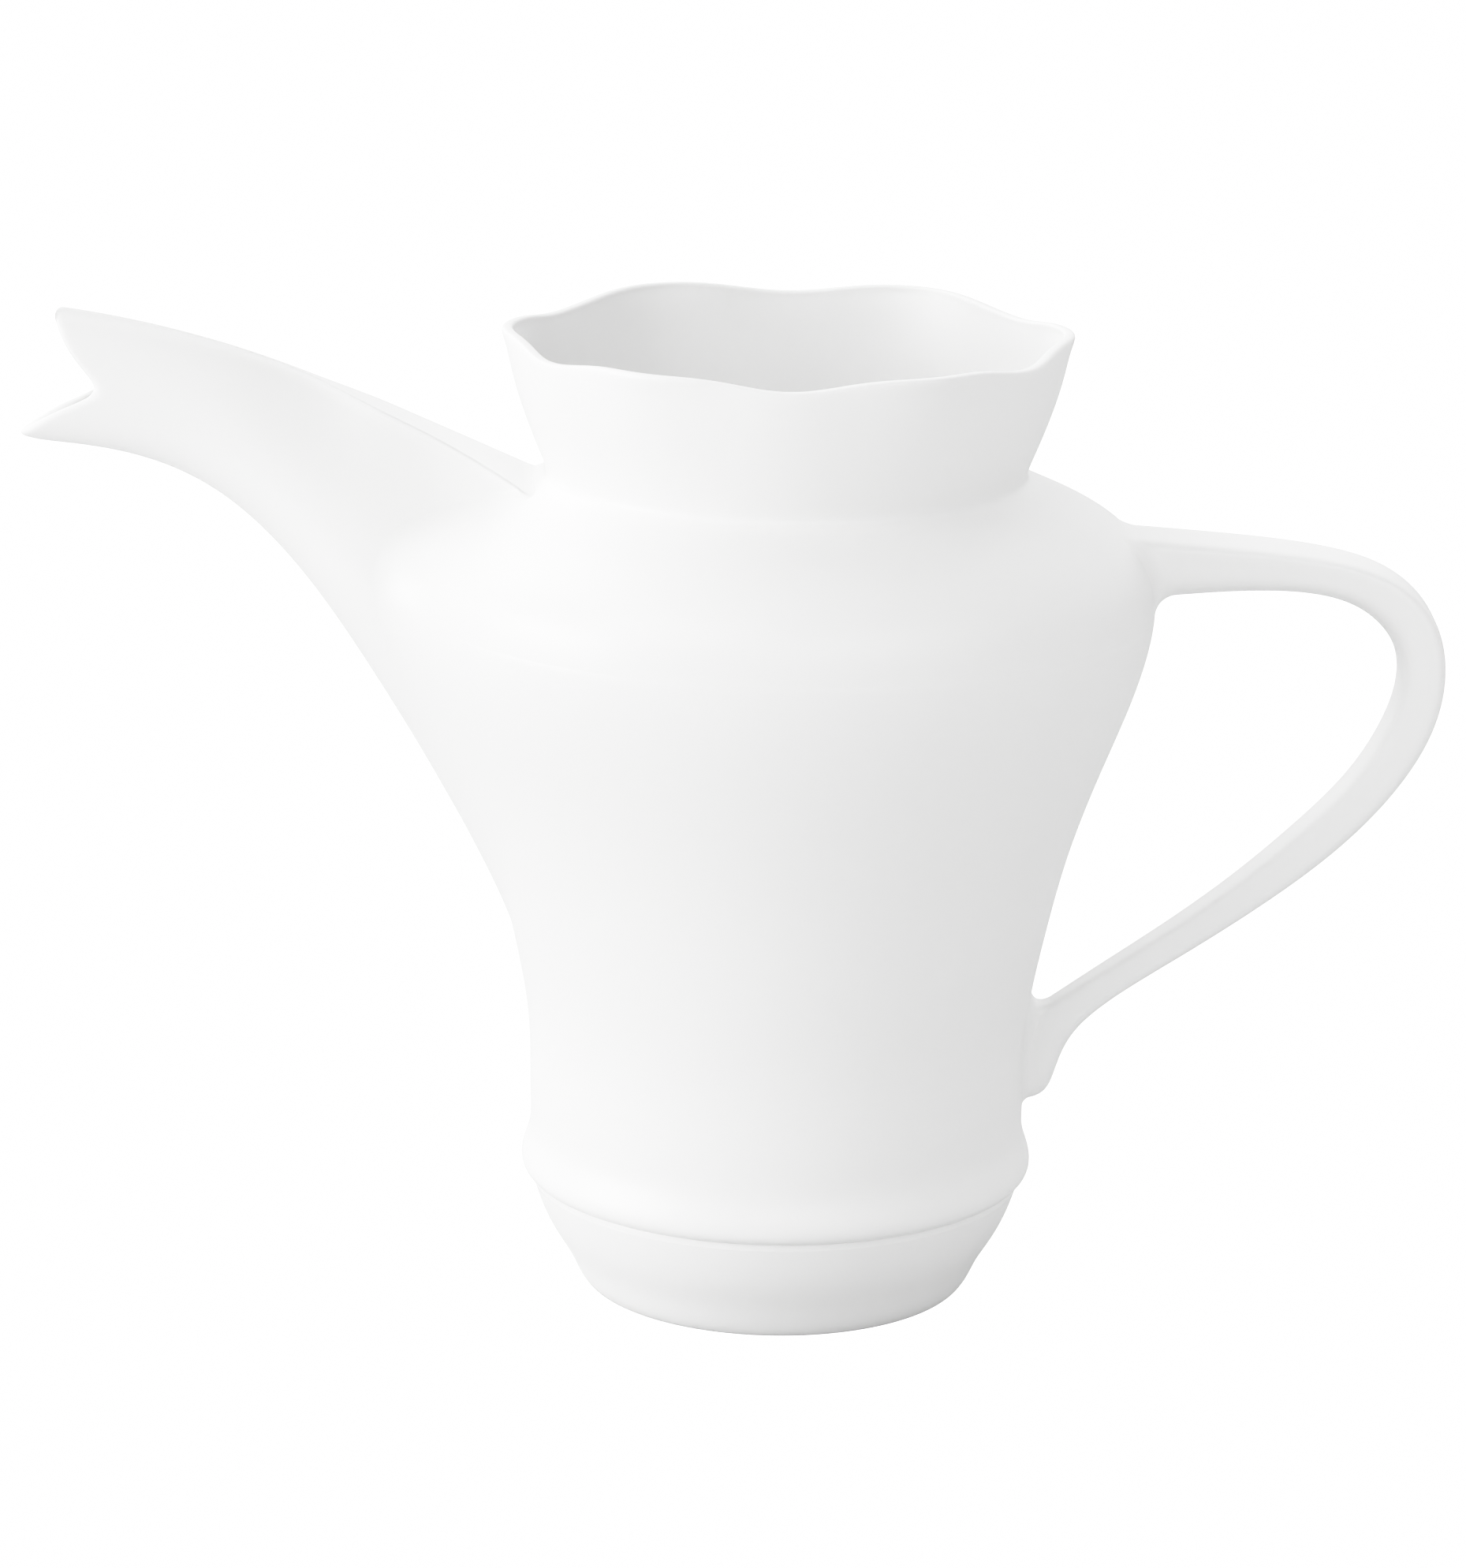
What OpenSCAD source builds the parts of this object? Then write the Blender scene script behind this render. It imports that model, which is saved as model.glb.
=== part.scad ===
// Coffee pot in glazed porcelain: an open vessel with a six-lobed rim, a long beak
// of a spout with a swallow-tail mouth, and a loop handle.
// Z is up and the origin is on the vessel's axis, in the plane that the pot stands on.
// The spout points along -X and the handle along +X. Sizes are in millimetres.
// Each casting stops on the vessel's outer skin, and a fillet of casting slip runs
// round each joint.

/* [Foot] */
// Outer radius of the ring that the pot stands on
foot_r = 33; // [31:0.5:35]
// Height of the foot, up to the incised line
foot_h = 19; // [17:0.5:21]
// Width of the ring that the pot stands on
stand_w = 4; // [3:0.5:6]
// Outer radius of the foot's top edge
foot_top_r = 42.6; // [42:0.1:43]
// Width of the incised line, which is the slip between foot and body
seam_h = 0.6; // [0.4:0.1:1]
// Depth of the incised line behind the foot's top edge
seam_depth = 1; // [0.5:0.1:1.5]

/* [Body] */
// Wall thickness of the body casting
wall = 3; // [2.5:0.1:3.5]
// Thickness of the floor
floor_h = 3.6; // [3:0.1:5]
// Radius of the bead above the incised line
bead_r = 44.6; // [44:0.1:45.5]
// Radius of the waist above the bead
waist_r = 43; // [42:0.1:43.5]
// Radius of the belly at its widest
belly_r = 63.5; // [62:0.1:65]
// Height of the belly's widest ring
belly_z = 122; // [120:0.5:124]

/* [Neck] */
// Radius of the corner between shoulder and neck
neck_r = 40.4; // [39.5:0.1:41.5]
// Height of the corner between shoulder and neck
neck_z = 144; // [143:0.5:145]
// Mean outer radius of the rim
rim_r = 47.3; // [46:0.1:49]
// Mean height of the rim
rim_z = 167; // [165:0.5:169]
// Wall thickness at the rim
rim_wall = 2; // [1.8:0.1:2.6]
// Number of lobes round the rim
lobes = 6; // [6:1:8]
// How much the lobes swing the rim out and in
lobe_out = 0.8; // [0:0.1:1]
// How much the lobes swing the rim up and down
lobe_up = 0.9; // [0:0.1:1.2]

/* [Pouring slot] */
// Width of the slot through the wall behind the spout
slot_w = 20; // [14:1:22]
// Height of the slot's lowest point
slot_low = 88; // [84:1:92]
// Height of the slot's highest point
slot_high = 132; // [128:1:134]

/* [Spout] */
// Wall thickness of the spout casting
spout_wall = 1.8; // [1.5:0.1:2]
// How far the notch of the mouth cuts back behind the upper lip
notch_deep = 7.8; // [7:0.1:9]

/* [Handle] */
// Half width of the handle at the top
handle_half = 7; // [6.5:0.1:7.5]
// Half width of the handle at its lower end
handle_low_half = 4.6; // [4.2:0.1:5]

/* [Fineness] */
// Steps along each stretch of a turned outline
turn_steps = 6; // [4:1:8]
// Rings along the spout
spout_rings = 30; // [20:2:40]
// Rings along the handle
handle_rings = 64; // [40:2:80]
// Slices round the neck
neck_slices = 96; // [72:12:120]
// Facets of a full turn
$fn = 96; // [64:8:128]

/* [Hidden] */

glaze = [0.96, 0.96, 0.95];
slip = [0.90, 0.91, 0.93];

// ---- Curves ----

function last(list) = list[len(list) - 1];
function reverse(list) = [for (i = [len(list) - 1:-1:0]) list[i]];

// A uniform cubic B-spline that starts at the first point and ends at the last one.
function knots(p) = concat([p[0], p[0]], p, [last(p), last(p)]);
function knot_blend(q, i, t) =
    ((1 - t) ^ 3 * q[i] + (3 * t ^ 3 - 6 * t ^ 2 + 4) * q[i + 1]
     + (1 + 3 * t + 3 * t ^ 2 - 3 * t ^ 3) * q[i + 2] + t ^ 3 * q[i + 3]) / 6;
function curve_at(p, u) =
    let (spans = len(p) + 1, s = min(max(u, 0), 1) * spans, i = min(floor(s), spans - 1))
    knot_blend(knots(p), i, s - i);
function curve(p, steps) =
    let (n = (len(p) + 1) * steps) [for (i = [0:n]) curve_at(p, i / n)];

// ---- Closed skins ----

// Triangles between ring i and ring j, each of n points.
function band(i, j, n) =
    [for (k = [0:n - 1]) let (m = (k + 1) % n)
        each [[i * n + k, j * n + k, j * n + m], [i * n + k, j * n + m, i * n + m]]];

// A skin whose last ring joins its first one.
module ring_skin(rings) {
    n = len(rings[0]);
    count = len(rings);
    polyhedron([for (r = rings) each r],
               [for (i = [0:count - 1]) each band(i, (i + 1) % count, n)]);
}

// A skin closed by a fan of triangles at each end, round the two given points.
module capped_skin(rings, start, end) {
    n = len(rings[0]);
    count = len(rings);
    first = count * n;
    polyhedron(concat([for (r = rings) each r], [start, end]),
               concat([for (i = [0:count - 2]) each band(i, i + 1, n)],
                      [for (k = [0:n - 1]) [first, k, (k + 1) % n]],
                      [for (k = [0:n - 1])
                          [first + 1, (count - 1) * n + (k + 1) % n, (count - 1) * n + k]]));
}

// ---- Outer skin of foot, body and neck, as [radius, height] ----

body_base = foot_h + seam_h;
swell = belly_r - waist_r;
flare_base = body_base + 16;
flare = belly_z - flare_base;

foot_line = [
    [foot_r - 1, 0], [foot_r, 0], [foot_r + 1.6, 2], [foot_r + 3.2, 6],
    [foot_top_r - 3.6, foot_h - 9], [foot_top_r - 1.4, foot_h - 4.5], [foot_top_r, foot_h]];

body_line = [
    [foot_top_r - seam_depth, body_base], [bead_r, body_base + 1], [bead_r - 0.6, body_base + 5.5],
    [waist_r - 0.1, body_base + 10], [waist_r + 0.1, flare_base],
    [waist_r, flare_base + 0.15 * flare], [waist_r + 0.15 * swell, flare_base + 0.32 * flare],
    [waist_r + 0.31 * swell, flare_base + 0.49 * flare],
    [waist_r + 0.56 * swell, flare_base + 0.66 * flare],
    [waist_r + 0.84 * swell, flare_base + 0.82 * flare],
    [belly_r, belly_z - 4], [belly_r, belly_z + 4], [belly_r - 2, belly_z + 10],
    [belly_r - 8, belly_z + 15], [neck_r + 5.4, neck_z - 3], [neck_r, neck_z]];

neck_line = [
    [neck_r, neck_z], [neck_r + 0.42 * (rim_r - neck_r), neck_z + 0.3 * (rim_z - neck_z)],
    [neck_r + 0.84 * (rim_r - neck_r), neck_z + 0.67 * (rim_z - neck_z)], [rim_r, rim_z]];

body_skin = curve(body_line, turn_steps);
neck_skin = curve(neck_line, turn_steps);
skin_table = [for (p = concat(body_skin, neck_skin)) [p[1], p[0]]];

// Radius of the vessel's skin at a height, and its outward normal there.
function skin_r(z) = lookup(z, skin_table);
function skin_normal(p) =
    let (slope = skin_r(p.z + 0.5) - skin_r(p.z - 0.5), n = [p.x, p.y, -slope * norm([p.x, p.y])])
    n / norm(n);
// The skin's nearest point to p, found in a few steps along the normal
function on_skin(p, steps = 4) =
    let (r = norm([p.x, p.y]), gap = r - skin_r(p.z), n = skin_normal(p))
    steps == 0 ? [p.x * skin_r(p.z) / r, p.y * skin_r(p.z) / r, p.z]
    : on_skin(p - n * gap * norm([n.x, n.y]), steps - 1);

// The place u, between an outer value and an inner one, where line enters the vessel.
outside_skin = function(p) norm([p.x, p.y]) > skin_r(p.z);
function meet(line, out, in, outside = outside_skin, n = 22) =
    let (mid = (out + in) / 2)
    n == 0 ? mid
    : outside(line(mid)) ? meet(line, mid, in, outside, n - 1)
    : meet(line, out, mid, outside, n - 1);

// ---- Foot ----

module foot() {
    color(glaze)
        rotate_extrude()
            polygon(concat(curve(foot_line, turn_steps), [
                [foot_top_r - 7, foot_h], [foot_top_r - 8, foot_h - 4],
                [foot_r - stand_w + 1.5, 3], [foot_r - stand_w, 0]]));
}

module foot_slip_joint() {
    color(slip)
        translate([0, 0, foot_h])
            difference() {
                cylinder(h = seam_h, r = foot_top_r - seam_depth);
                translate([0, 0, -1]) cylinder(h = seam_h + 2, r = foot_top_r - 6);
            }
}

// ---- Body ----

floor_z = body_base + floor_h;
cavity_line = [
    [0, floor_z], [waist_r - 12, floor_z], [waist_r - wall, floor_z + 1],
    [waist_r - wall, floor_z + 9],
    [waist_r - wall, flare_base + 0.15 * flare],
    [waist_r - wall + 0.15 * swell, flare_base + 0.33 * flare],
    [waist_r - wall + 0.31 * swell, flare_base + 0.5 * flare],
    [waist_r - wall + 0.56 * swell, flare_base + 0.67 * flare],
    [waist_r - wall + 0.84 * swell, flare_base + 0.83 * flare],
    [belly_r - wall, belly_z - 4], [belly_r - wall, belly_z + 4],
    [belly_r - wall - 3.5, belly_z + 9], [neck_r + 5, neck_z - 6.5], [neck_r - wall, neck_z]];

// One slice of the neck at an angle: up the outside, over the rim and down the inside.
neck_rise = 12;
function lobe(a, second) = cos(lobes * a) + second * cos(2 * lobes * a);
function neck_at(a, k, inset) =
    let (p = curve_at(neck_line, k), open = k * k)
    [p[0] + lobe_out * lobe(a, 0.5) * open - inset, p[1] + lobe_up * lobe(a, -0.2) * open];
function neck_slice(a) =
    let (
        tip = neck_at(a, 1, rim_wall / 2),
        outside = [for (i = [0:neck_rise]) neck_at(a, i / neck_rise, 0.05)],
        over = [for (b = [30:30:150]) tip + rim_wall / 2 * [cos(b), sin(b)]],
        inside = [for (i = [neck_rise:-1:0])
            let (k = i / neck_rise) neck_at(a, k, wall - 0.05 + (rim_wall - wall) * k)],
        root = [[neck_r - wall + 0.4, neck_z - 1.5], [neck_r - 0.4, neck_z - 1.5]])
    [for (p = concat(outside, over, inside, root)) [p[0] * cos(a), p[0] * sin(a), p[1]]];

module neck() {
    ring_skin([for (i = [0:neck_slices - 1]) neck_slice(-i * 360 / neck_slices)]);
}

module pouring_slot() {
    for (z = [slot_low + slot_w / 2, slot_high - slot_w / 2])
        translate([0, 0, z]) rotate([0, -90, 0]) cylinder(h = belly_r + 5, d = slot_w);
    translate([-belly_r - 5, -slot_w / 2, slot_low + slot_w / 2])
        cube([belly_r + 5, slot_w, slot_high - slot_low - slot_w]);
}

module body() {
    color(glaze)
        union() {
            difference() {
                rotate_extrude()
                    polygon(concat([[0, body_base]], body_skin,
                                   reverse(curve(cavity_line, turn_steps))));
                pouring_slot();
            }
            neck();
        }
}

// ---- Spout ----

// The spout is ruled between its top crease and its keel, both in the plane y = 0.
// u runs from the mouth to inside the body, and t from the crease down to the keel.
crease_line = [
    [-124.5, 171], [-119, 170.3], [-110, 168.7], [-101, 166.6], [-92.5, 164.2], [-84.5, 161.5],
    [-77, 158.3], [-69.5, 155], [-62, 151.6], [-54.5, 148], [-46.5, 143.8], [-37, 138.5]];
keel_line = [
    [-131, 149], [-128, 147.5], [-117, 146.8], [-105, 144], [-94, 138], [-84, 128],
    [-76, 117], [-68.5, 105], [-61, 92.5], [-53.5, 78.5], [-46, 65.5], [-38, 51.5]];
// The cut of the mouth, from the upper lip round the notch to the lower lip
lip = crease_line[0];
mouth_line = [
    lip, lip + [0.3, -3.5], lip + [3.7, -9.3], lip + [notch_deep, -12.8],
    lip + [notch_deep - 0.2, -15], lip + [0.3, -17.6], keel_line[0]];
// Half widths along u: of the flat top, and what the flanks add to it at their fullest
top_half = [0.6, 0.7, 0.8, 0.8, 0.8, 0.6, 2, 5.2, 5.6, 7.4, 10.4, 16];
flank_half = [4, 4.2, 4.8, 6, 8.2, 10.8, 13.5, 15.8, 17.6, 19, 20, 20];

// How fast the flat top's share of the width dies away down the flank
top_fall = 4;
flank_rise = 1.3;
function flank_fall(u) = 0.4 + 0.75 * u;
// A bulge of height 1 that starts softly at t = 0 and closes at t = 1
function bulge(t, a, b) =
    let (m = a / (a + b)) t >= 1 ? 0 : (t / m) ^ a * ((1 - t) / (1 - m)) ^ b;

function spout_half(u, t) =
    curve_at(top_half, u) * (1 - t) ^ top_fall
    + curve_at(flank_half, u) * bulge(t, flank_rise, flank_fall(u));
function ruled(u, t) = curve_at(crease_line, u) * (1 - t) + curve_at(keel_line, u) * t;
function spout_point(u, t, side) =
    let (p = ruled(u, t)) [p[0], side * spout_half(u, t), p[1]];

// The channel keeps a wall's distance from the flanks and stays clear of crease and keel.
least_half = 0.6;
function channel_t(u, s) = let (low = 0.24 - 0.22 * u, high = 0.9 + 0.04 * u) low + (high - low) * s;
function channel_cap(s) =
    s < 0.3 ? 0.3 + 0.7 * sqrt(1 - (1 - s / 0.3) ^ 2)
    : s > 0.7 ? sqrt(max(0, 1 - ((s - 0.7) / 0.3) ^ 2))
    : 1;
function channel_point(u, s, side) =
    let (t = channel_t(u, s), p = ruled(u, t))
    [p[0], side * max(spout_half(u, t) - spout_wall, least_half) * channel_cap(s), p[1]];

// Places round a section: down one flank to the keel and up the other
flank_steps = 18;
flank_t = [for (i = [0:flank_steps]) (1 - cos(180 * i / flank_steps)) / 4 + i / flank_steps / 2];
section = concat([for (t = flank_t) [t, -1]],
                 [for (i = [flank_steps - 1:-1:0]) [flank_t[i], 1]]);

// Each line along the spout runs from the cut of the mouth to the vessel's skin.
mouth_table = [for (p = curve(mouth_line, turn_steps)) [p[1], p[0]]];
beyond_mouth = function(p) p.x < lookup(p.z, mouth_table);
function spout_line(s) = function(u) spout_point(u, s[0], s[1]);
function channel_line(s) = function(u) channel_point(u, s[0], s[1]);
function ends(line) = [meet(line, 0, 0.5, beyond_mouth), meet(line, 0.5, 1)];
function along(line, ends, share) = line(ends[0] + (ends[1] - ends[0]) * share);
spout_ends = [for (s = section) ends(spout_line(s))];
channel_ends = [for (s = section) ends(channel_line(s))];

module spout() {
    outer = [for (j = [0:spout_rings])
        [for (k = [0:len(section) - 1])
            along(spout_line(section[k]), spout_ends[k], j / spout_rings)]];
    inner = [for (j = [spout_rings:-1:0])
        [for (k = [0:len(section) - 1])
            along(channel_line(section[k]), channel_ends[k], j / spout_rings)]];
    color(glaze) ring_skin(concat(outer, inner));
}

// ---- Handle ----

// Outer and inner edges in the plane y = 0, from the shoulder round to the tail
outer_line = [
    [52, 135], [66, 134], [80, 133], [93, 131.5], [104, 128.5], [112, 121], [114, 110],
    [111.5, 99], [104.5, 88], [95, 78], [83.5, 69], [70.5, 60], [59.5, 53], [51, 46],
    [48.5, 38.5], [47, 33], [38, 33]];
inner_line = [
    [54, 122.5], [67, 124], [79, 125], [89, 125], [98, 123], [104.5, 117], [106, 109.5],
    [103.5, 101], [98, 91.5], [90, 83.3], [79, 73.2], [67, 64.2], [56, 56.8], [47, 50.5],
    [41, 46.5], [38, 44], [34, 42]];
half_line = [
    handle_half + 0.8, handle_half + 0.4, handle_half, handle_half - 0.2, handle_half - 0.4,
    (handle_half + handle_low_half) / 2, handle_low_half + 0.3, handle_low_half,
    handle_low_half + 0.4];
// How square the section is: small powers give crisp corners
outer_power = [0.34, 0.34, 0.5, 0.7, 0.75, 0.75];
inner_power = [0.75, 0.75, 0.6, 0.42, 0.4, 0.5];
// Inner edge's share of the width
inner_share = [0.9, 0.9, 0.95, 0.85, 0.7, 0.7];

handle_sides = 28;
function signed(v, power) = sign(v) * abs(v) ^ power;
function handle_point(v, angle) =
    let (
        power = curve_at(cos(angle) > 0 ? outer_power : inner_power, v),
        depth = signed(cos(angle), power),
        across = signed(sin(angle), power),
        outer = curve_at(outer_line, v),
        inner = curve_at(inner_line, v),
        p = (outer + inner) / 2 + (outer - inner) / 2 * depth,
        share = 1 + (curve_at(inner_share, v) - 1) * (1 - depth) / 2)
    [p[0], across * curve_at(half_line, v) * share, p[1]];

handle_angles = [for (k = [handle_sides - 1:-1:0]) 360 * (k + 0.5) / handle_sides];
handle_start = [for (a = handle_angles) meet(function(v) handle_point(v, a), 0.3, 0)];
handle_end = [for (a = handle_angles) meet(function(v) handle_point(v, a), 0.7, 1)];

function mean(points) = [for (p = points) 1] * points / len(points);

module handle() {
    rings = [for (j = [0:handle_rings])
        [for (k = [0:handle_sides - 1])
            handle_point(handle_start[k] + (handle_end[k] - handle_start[k]) * j / handle_rings,
                         handle_angles[k])]];
    color(glaze) capped_skin(rings, on_skin(mean(rings[0])), on_skin(mean(last(rings))));
}

// ---- Slip joints ----

// A fillet between the body's skin and a casting: root is the loop where they meet,
// flank the loop on the casting where the fillet ends, and reach its width on the body.
fillet_steps = 4;
function unit(v) = v / norm(v);
function fillet(root, flank, reach, turn) =
    let (n = len(root))
    [for (k = [0:n - 1])
        let (
            tangent = unit(root[(k + 1) % n] - root[k]) + unit(root[k] - root[(k + n - 1) % n]),
            away = cross(skin_normal(root[k]), tangent) * turn,
            foot = on_skin(root[k] + unit(away) * reach[k]),
            bend = root[k] + skin_normal(root[k]) * reach[k] ^ 2 / skin_r(root[k].z) / 2)
        concat([for (i = [0:fillet_steps])
                let (s = i / fillet_steps)
                foot * (1 - s) ^ 2 + bend * 2 * s * (1 - s) + flank[k] * s ^ 2],
               [root[k], on_skin((root[k] + foot) / 2)])];

module spout_slip_joint() {
    root = [for (k = [0:len(section) - 1]) spout_line(section[k])(spout_ends[k][1])];
    flank = [for (k = [0:len(section) - 1])
        spout_line(section[k])(spout_ends[k][1] - 0.02 - 0.1 * section[k][0])];
    reach = [for (s = section) 1.2 + 9 * sin(180 * s[0]) ^ 0.6 + 4 * s[0]];
    color(slip) ring_skin(fillet(root, flank, reach, 1));
}

module handle_joint(ends, share, reach) {
    root = [for (k = [0:handle_sides - 1]) handle_point(ends[k], handle_angles[k])];
    flank = [for (k = [0:handle_sides - 1])
        handle_point(ends[k] + share, handle_angles[k])];
    slices = fillet(root, flank, [for (a = handle_angles) reach], -sign(share));
    color(slip) ring_skin(share < 0 ? slices : reverse(slices));
}

module handle_top_slip_joint() {
    handle_joint(handle_start, 0.013, 3);
}

module handle_bottom_slip_joint() {
    handle_joint(handle_end, -0.018, 2.5);
}

body();
foot();
foot_slip_joint();
spout();
spout_slip_joint();
handle();
handle_top_slip_joint();
handle_bottom_slip_joint();
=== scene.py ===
"""A coffee pot in glazed porcelain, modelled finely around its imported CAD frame.

Every CAD node gets one smooth piece in its place: the castings keep the CAD's outlines with
softened edges, and the slip joints become fillets that leave both skins tangentially.
Lengths are in millimetres until a mesh is made. Z is up, the spout points along -X.
"""

import math

import bpy
import numpy as np
from mathutils import Matrix, Vector


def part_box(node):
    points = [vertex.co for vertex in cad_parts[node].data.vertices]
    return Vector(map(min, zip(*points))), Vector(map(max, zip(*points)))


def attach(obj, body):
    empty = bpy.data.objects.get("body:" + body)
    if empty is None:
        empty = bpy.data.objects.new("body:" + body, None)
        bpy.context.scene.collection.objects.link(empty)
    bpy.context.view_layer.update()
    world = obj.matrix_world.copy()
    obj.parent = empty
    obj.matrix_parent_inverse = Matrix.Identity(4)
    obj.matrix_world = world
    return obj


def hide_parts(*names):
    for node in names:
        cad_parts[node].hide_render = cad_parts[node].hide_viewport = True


MM = 0.001

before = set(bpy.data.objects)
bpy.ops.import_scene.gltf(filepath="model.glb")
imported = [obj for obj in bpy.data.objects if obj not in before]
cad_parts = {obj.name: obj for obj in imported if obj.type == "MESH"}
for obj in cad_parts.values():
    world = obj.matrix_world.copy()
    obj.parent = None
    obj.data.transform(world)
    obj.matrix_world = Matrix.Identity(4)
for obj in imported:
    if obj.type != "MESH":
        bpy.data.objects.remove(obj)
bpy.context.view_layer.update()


def cad_box(node):
    """Lowest and highest corner of a CAD node, in millimetres."""
    low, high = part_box(node)
    return np.array(low) / MM, np.array(high) / MM


_, foot_high = cad_box("foot")
body_low, _ = cad_box("body")

# ---- Driving dimensions ----

FOOT_H = foot_high[2]
FOOT_TOP_R = foot_high[0]
FOOT_R = FOOT_TOP_R - 9.6
STAND_W = 4
BODY_BASE = body_low[2]
SEAM_DEPTH = 1
WALL = 3
FLOOR_Z = BODY_BASE + 3.6
BEAD_R = 44.6
WAIST_R = 43
BELLY_R = 63.5
BELLY_Z = 122
NECK_R = 40.4
NECK_Z = 144
RIM_R = 47.3
RIM_Z = 167
RIM_WALL = 2
LOBES = 6
LOBE_OUT = 0.8
LOBE_UP = 0.9
# Share of the second harmonic in the lobes' way out and way up
LOBE_OUT_SECOND = 0.5
LOBE_UP_SECOND = -0.2
SLOT_W = 20
SLOT_LOW = 88
SLOT_HIGH = 132
SPOUT_WALL = 1.8
NOTCH_DEEP = 7.8
HANDLE_HALF = 7
HANDLE_LOW_HALF = 4.6

# ---- Curves and softening ----


def spline(points, u):
    """A uniform cubic B-spline that starts at the first point and ends at the last one."""
    points = np.asarray(points, float)
    knots = np.concatenate([points[:1], points[:1], points, points[-1:], points[-1:]])
    spans = len(points) + 1
    place = np.clip(np.asarray(u, float), 0, 1) * spans
    first = np.minimum(place.astype(int), spans - 1)
    t = place - first
    if points.ndim > 1:
        t = t[..., None]
    return (
        (1 - t) ** 3 * knots[first]
        + (3 * t**3 - 6 * t**2 + 4) * knots[first + 1]
        + (1 + 3 * t + 3 * t**2 - 3 * t**3) * knots[first + 2]
        + t**3 * knots[first + 3]
    ) / 6


def curve(points, steps=240):
    return spline(points, np.linspace(0, 1, steps + 1))


def bezier(points, s):
    """A Bezier curve of three or four control points."""
    s = np.asarray(s)[..., None]
    if len(points) == 3:
        a, b, c = points
        return a * (1 - s) ** 2 + 2 * b * s * (1 - s) + c * s**2
    a, b, c, d = points
    return a * (1 - s) ** 3 + 3 * b * s * (1 - s) ** 2 + 3 * c * s**2 * (1 - s) + d * s**3


def unit(v):
    return v / np.linalg.norm(v, axis=-1, keepdims=True)


def length_along(points, columns=3):
    step = np.linalg.norm(np.diff(points[:, :columns], axis=0), axis=1)
    return np.concatenate([[0], np.cumsum(step)])


def at_lengths(points, length, wanted):
    return np.stack([np.interp(wanted, length, c) for c in points.T], -1)


def soften_line(points, width, spacing=0.1, widths_out=4):
    """Rounds the corners of an open outline; only its first two columns are lengths.

    The rounding is a Gaussian blur along the outline, out to so many widths each way.
    """
    length = length_along(points, 2)
    count = int(length[-1] / spacing)
    even = at_lengths(points, length, np.linspace(0, length[-1], count + 1))
    reach = int(widths_out * width / spacing)
    before = 2 * even[0] - even[reach:0:-1]
    after = 2 * even[-1] - even[-2 : -reach - 2 : -1]
    padded = np.concatenate([before, even, after])
    x = np.arange(-reach, reach + 1) * spacing / width
    kernel = np.exp(-x * x / 2)
    kernel /= kernel.sum()
    return np.stack([np.convolve(c, kernel, "valid") for c in padded.T], -1)


def soften_ring(ring, width, samples=2048):
    """Rounds the corners of a closed ring, and keeps its points where they were along it."""
    closed = np.concatenate([ring, ring[:1]])
    length = length_along(closed, ring.shape[1])
    even = at_lengths(closed, length, np.arange(samples) / samples * length[-1])
    pitch = np.fft.rfftfreq(samples, length[-1] / samples)
    keep = np.exp(-2 * (math.pi * pitch * width) ** 2)
    smooth = np.fft.irfft(np.fft.rfft(even, axis=0) * keep[:, None], samples, axis=0)
    smooth = np.concatenate([smooth, smooth[:1]])
    return at_lengths(smooth, np.arange(samples + 1) / samples * length[-1], length[:-1])


def spread(points, count, turn_weight=4):
    """count points along an outline, closer together where it turns."""
    length = length_along(points, 2)
    step = unit(np.diff(points[:, :2], axis=0))
    turn = np.arccos(np.clip((step[1:] * step[:-1]).sum(1), -1, 1))
    turned = np.concatenate([[0, 0], np.cumsum(turn)])
    measure = length + turn_weight * turned
    return at_lengths(points, measure, np.linspace(0, measure[-1], count))


def signed_power(v, power):
    """A power that keeps the sign, for sections between round and square."""
    return np.sign(v) * np.abs(v) ** power


# ---- Meshes ----


def grid_faces(rows, columns, wrap_rows):
    """Quads between rows of points; the columns always wrap round."""
    i = np.arange(rows if wrap_rows else rows - 1)[:, None]
    k = np.arange(columns)[None, :]
    i2, k2 = (i + 1) % rows, (k + 1) % columns
    corners = (i * columns + k, i2 * columns + k, i2 * columns + k2, i * columns + k2)
    return np.stack(np.broadcast_arrays(*corners), -1).reshape(-1, 4)


def signed_volume(points, quads):
    """Six times the volume inside the quads, negative where they face inwards."""
    a, b, c, d = (points[quads[:, i]] for i in range(4))
    return (a * np.cross(b, c)).sum() + (a * np.cross(c, d)).sum()


def closed_piece(name, rows, wrap_rows=False, start=None, end=None):
    """A closed mesh from rows of points in mm, with a fan to start and to end if they're given."""
    count, columns = rows.shape[:2]
    points = rows.reshape(-1, 3)
    quads = grid_faces(count, columns, wrap_rows)
    inside_out = signed_volume(points, quads) < 0
    faces = quads.tolist()
    last_row = (count - 1) * columns
    for centre, first, turned in ((start, 0, False), (end, last_row, True)):
        if centre is None:
            continue
        points = np.concatenate([points, [centre]])
        hub = len(points) - 1
        for k in range(columns):
            fan = [hub, first + k, first + (k + 1) % columns]
            faces.append(fan[::-1] if turned else fan)
    if inside_out:
        faces = [face[::-1] for face in faces]
    mesh = bpy.data.meshes.new(name)
    mesh.from_pydata((points * MM).tolist(), [], faces)
    mesh.polygons.foreach_set("use_smooth", [True] * len(mesh.polygons))
    mesh.update()
    piece = bpy.data.objects.new(name, mesh)
    bpy.context.scene.collection.objects.link(piece)
    return piece


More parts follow.
